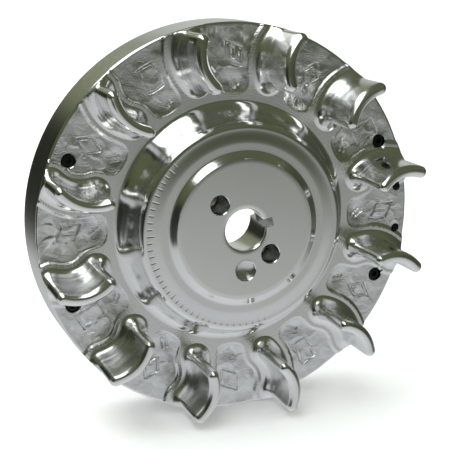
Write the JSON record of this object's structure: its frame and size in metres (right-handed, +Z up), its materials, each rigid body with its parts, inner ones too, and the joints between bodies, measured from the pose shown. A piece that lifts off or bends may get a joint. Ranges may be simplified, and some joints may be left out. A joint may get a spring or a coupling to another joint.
{
  "type": "small engine flywheel",
  "caption": "Machined aluminium flywheel with a raised hub, keyed tapered bore, curved cooling vanes on its face, and a magnet group and counterweight in the rim.",
  "frame": {"origin": "on the crankshaft axis, at the hub's back face", "axes": "+Y along the crankshaft towards the engine, so the vanes face -Y; +Z up, with the ignition magnets on the +X side"},
  "size_m": [0.177, 0.0542, 0.177],
  "materials": {
    "machined_aluminium": "turned and milled, partly polished",
    "polished_aluminium": "ball-milled and polished",
    "black_steel": "black oxide",
    "shoe_steel": "ground",
    "carrier_steel": "milled",
    "magnet": "nickel plated"
  },
  "bodies": {
    "root": {"flywheel_body": "machined_aluminium", "vane_01": "polished_aluminium", "vane_02": "polished_aluminium", "vane_03": "polished_aluminium", "vane_04": "polished_aluminium", "vane_05": "polished_aluminium", "vane_06": "polished_aluminium", "vane_07": "polished_aluminium", "vane_08": "polished_aluminium", "vane_09": "polished_aluminium", "vane_10": "polished_aluminium", "vane_11": "polished_aluminium", "vane_12": "polished_aluminium", "magnet_carrier": "carrier_steel", "counterweight": "carrier_steel", "magnet_upper": "magnet", "pole_shoe_upper": "shoe_steel", "shoe_pin_upper": "black_steel", "magnet_screw_upper": "black_steel", "weight_screw_upper": "black_steel", "magnet_lower": "magnet", "pole_shoe_lower": "shoe_steel", "shoe_pin_lower": "black_steel", "magnet_screw_lower": "black_steel", "weight_screw_lower": "black_steel"}
  },
  "joints": []
}
